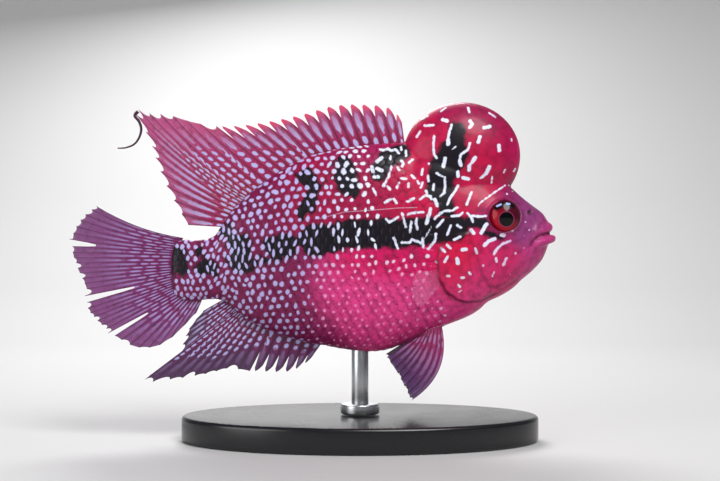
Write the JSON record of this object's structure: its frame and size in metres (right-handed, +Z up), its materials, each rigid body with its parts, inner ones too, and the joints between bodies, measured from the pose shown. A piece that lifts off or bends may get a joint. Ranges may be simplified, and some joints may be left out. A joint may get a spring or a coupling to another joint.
{
  "type": "flowerhorn cichlid",
  "caption": "Life-size still model of a young flowerhorn cichlid with a tall nuchal hump and spread fins, held by one rod on an oval display base.",
  "frame": {"origin": "middle of the flat underside of the stand's base, on the surface it stands on", "axes": "+X towards the fish's snout, +Y towards its left flank, +Z up"},
  "size_m": [0.1152, 0.05, 0.0797],
  "materials": {
    "crimson_skin": "wet gloss",
    "flank_skin": "wet gloss",
    "fin_membrane": "translucent satin",
    "clear_fin": "translucent satin",
    "eye": "clear gloss",
    "stand_black": "satin",
    "stand_steel": "brushed"
  },
  "bodies": {
    "root": {"head": "flank_skin", "lower_jaw": "flank_skin", "nuchal_hump": "crimson_skin", "gill_cover_right": "crimson_skin", "gill_cover_left": "crimson_skin", "torso": "flank_skin", "tail_stalk": "flank_skin", "eye_right": "eye", "eye_left": "eye", "dorsal_fin": "fin_membrane", "caudal_fin": "fin_membrane", "anal_fin": "fin_membrane", "pectoral_fin_right": "clear_fin", "pectoral_fin_left": "clear_fin", "pelvic_fin_right": "fin_membrane", "pelvic_fin_left": "fin_membrane", "stand_base": "stand_black", "stand_rod": "stand_steel", "stand_collar": "stand_steel"}
  },
  "joints": []
}
